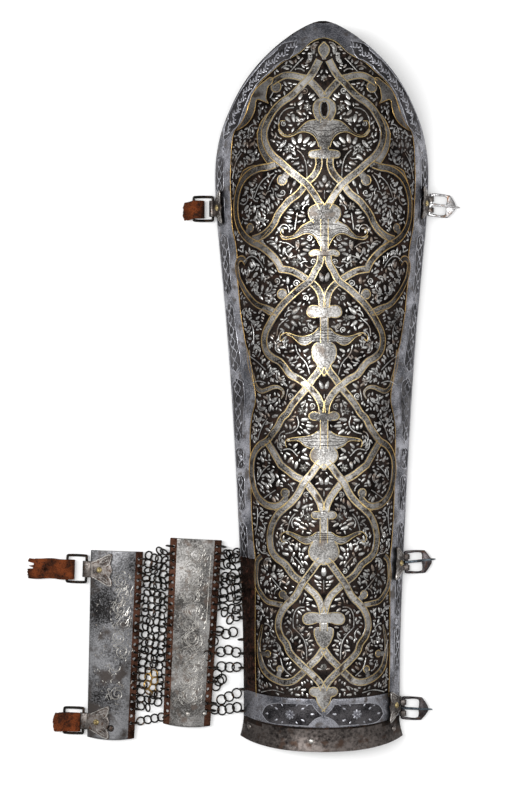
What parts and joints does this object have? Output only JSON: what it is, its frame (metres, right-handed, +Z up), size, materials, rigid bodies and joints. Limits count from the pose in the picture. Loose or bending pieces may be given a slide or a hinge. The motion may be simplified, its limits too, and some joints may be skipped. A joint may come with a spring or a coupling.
{
  "type": "forearm guard",
  "caption": "Persian forearm guard: gutter-shaped steel arm plate with wrist plates hung on mail, buckles and strap loops.",
  "frame": {"origin": "centre of the bounding box, on the surface that the guard lies on, hollow side down", "axes": "+X across the forearm towards the buckles, +Y from wrist to elbow point, +Z up out of the convex side"},
  "size_m": [0.2004, 0.33, 0.0393],
  "materials": {
    "chiselled_steel": "chiselled low relief with gold inlay lines, brown-grey patina, worn bright on the crown",
    "wrist_steel": "engraved, dull grey with brown edges",
    "mail_iron": "blackened wire",
    "mount_steel": "dark with bright filed edges",
    "buckle_iron": "forged, dark brown",
    "brass_rivet": "domed, rubbed",
    "silvered_rivet": "domed, worn bright",
    "russet_leather": "old, scuffed, torn ends"
  },
  "bodies": {
    "forearm": {"forearm_plate": "chiselled_steel", "lining_rivet_forearm_1": "silvered_rivet", "lining_rivet_forearm_2": "silvered_rivet", "lining_rivet_forearm_3": "silvered_rivet", "strap_mount_upper_left": "mount_steel", "strap_mount_upper_right": "mount_steel", "strap_mount_mid_right": "mount_steel", "strap_mount_lower_right": "mount_steel", "mount_rivet_upper_left": "brass_rivet", "mount_rivet_upper_right": "brass_rivet", "mount_rivet_mid_right": "brass_rivet", "mount_rivet_lower_right": "brass_rivet"},
    "frame_upper_right": {"buckle_frame_upper_right": "buckle_iron"},
    "tongue_upper_right": {"buckle_tongue_upper_right": "buckle_iron"},
    "frame_mid_right": {"buckle_frame_mid_right": "buckle_iron"},
    "tongue_mid_right": {"buckle_tongue_mid_right": "buckle_iron"},
    "frame_lower_right": {"buckle_frame_lower_right": "buckle_iron"},
    "tongue_lower_right": {"buckle_tongue_lower_right": "buckle_iron"},
    "loop_upper_left": {"strap_loop_upper_left": "buckle_iron"},
    "strap_upper_left": {"leather_strap_upper_left": "russet_leather"},
    "inner_mail": {"inner_mail_panel": "mail_iron", "inner_mail_chain_1": "mail_iron", "inner_mail_chain_2": "mail_iron", "inner_mail_chain_3": "mail_iron", "inner_mail_fork": "mail_iron", "inner_mail_cluster": "mail_iron"},
    "inner_wrist": {"inner_wrist_plate": "wrist_steel", "lining_rivet_inner_1": "silvered_rivet", "lining_rivet_inner_2": "silvered_rivet"},
    "outer_mail": {"outer_mail_panel": "mail_iron", "outer_mail_chain": "mail_iron"},
    "outer_wrist": {"outer_wrist_plate": "wrist_steel", "lining_rivet_outer": "silvered_rivet", "strap_mount_wrist_upper": "mount_steel", "strap_mount_wrist_lower": "mount_steel", "mount_rivet_wrist_upper": "brass_rivet", "mount_rivet_wrist_lower": "brass_rivet"},
    "loop_wrist_upper": {"strap_loop_wrist_upper": "buckle_iron"},
    "strap_wrist_upper": {"leather_strap_wrist_upper": "russet_leather"},
    "loop_wrist_lower": {"strap_loop_wrist_lower": "buckle_iron"},
    "strap_wrist_lower": {"leather_strap_wrist_lower": "russet_leather"}
  },
  "joints": [
    {"name": "frame_upper_right_swing", "type": "hinge", "parent": "forearm", "child": "frame_upper_right", "pos_m": [0.08661, 0.08421, 0.00185], "axis": [0, -1, 0], "range_deg": [-80, 20]},
    {"name": "tongue_upper_right_lift", "type": "hinge", "parent": "frame_upper_right", "child": "tongue_upper_right", "pos_m": [0.08661, 0.08421, 0.00185], "axis": [0, -1, 0], "range_deg": [0, 45]},
    {"name": "frame_mid_right_swing", "type": "hinge", "parent": "forearm", "child": "frame_mid_right", "pos_m": [0.07544, -0.081, 0.00185], "axis": [0, -1, 0], "range_deg": [-80, 20]},
    {"name": "tongue_mid_right_lift", "type": "hinge", "parent": "frame_mid_right", "child": "tongue_mid_right", "pos_m": [0.07544, -0.081, 0.00185], "axis": [0, -1, 0], "range_deg": [0, 45]},
    {"name": "frame_lower_right_swing", "type": "hinge", "parent": "forearm", "child": "frame_lower_right", "pos_m": [0.0739, -0.1483, 0.00185], "axis": [0, -1, 0], "range_deg": [-80, 20]},
    {"name": "tongue_lower_right_lift", "type": "hinge", "parent": "frame_lower_right", "child": "tongue_lower_right", "pos_m": [0.0739, -0.1483, 0.00185], "axis": [0, -1, 0], "range_deg": [0, 45]},
    {"name": "loop_upper_left_swing", "type": "hinge", "parent": "forearm", "child": "loop_upper_left", "pos_m": [-0.01383, 0.08221, 0.0022], "axis": [0, 1, 0], "range_deg": [-70, 60]},
    {"name": "strap_upper_left_swing", "type": "hinge", "parent": "loop_upper_left", "child": "strap_upper_left", "pos_m": [-0.02263, 0.08221, 0.0022], "axis": [0, 1, 0], "range_deg": [-60, 60]},
    {"name": "inner_mail_hinge", "type": "hinge", "parent": "forearm", "child": "inner_mail", "pos_m": [-0.00003, -0.114, 0.00285], "axis": [-0.0228, 0.9997, 0], "range_deg": [-70, 45]},
    {"name": "inner_wrist_hinge", "type": "hinge", "parent": "inner_mail", "child": "inner_wrist", "pos_m": [-0.01241, -0.11368, 0.00285], "axis": [0.0635, 0.998, 0], "range_deg": [-50, 40]},
    {"name": "outer_mail_hinge", "type": "hinge", "parent": "inner_wrist", "child": "outer_mail", "pos_m": [-0.03503, -0.11252, 0.00285], "axis": [0.0391, 0.9992, 0], "range_deg": [-50, 40]},
    {"name": "outer_wrist_hinge", "type": "hinge", "parent": "outer_mail", "child": "outer_wrist", "pos_m": [-0.04812, -0.11919, 0.00285], "axis": [0.0481, 0.9988, 0], "range_deg": [-50, 40]},
    {"name": "loop_wrist_upper_swing", "type": "hinge", "parent": "outer_wrist", "child": "loop_wrist_upper", "pos_m": [-0.07232, -0.08414, 0.0022], "axis": [0.0342, 0.9994, 0], "range_deg": [-70, 80]},
    {"name": "strap_wrist_upper_swing", "type": "hinge", "parent": "loop_wrist_upper", "child": "strap_wrist_upper", "pos_m": [-0.08111, -0.08384, 0.0022], "axis": [0.0342, 0.9994, 0], "range_deg": [-80, 80]},
    {"name": "loop_wrist_lower_swing", "type": "hinge", "parent": "outer_wrist", "child": "loop_wrist_lower", "pos_m": [-0.07374, -0.15423, 0.0022], "axis": [0.0342, 0.9994, 0], "range_deg": [-70, 80]},
    {"name": "strap_wrist_lower_swing", "type": "hinge", "parent": "loop_wrist_lower", "child": "strap_wrist_lower", "pos_m": [-0.08253, -0.15393, 0.0022], "axis": [0.0342, 0.9994, 0], "range_deg": [-80, 80]}
  ]
}
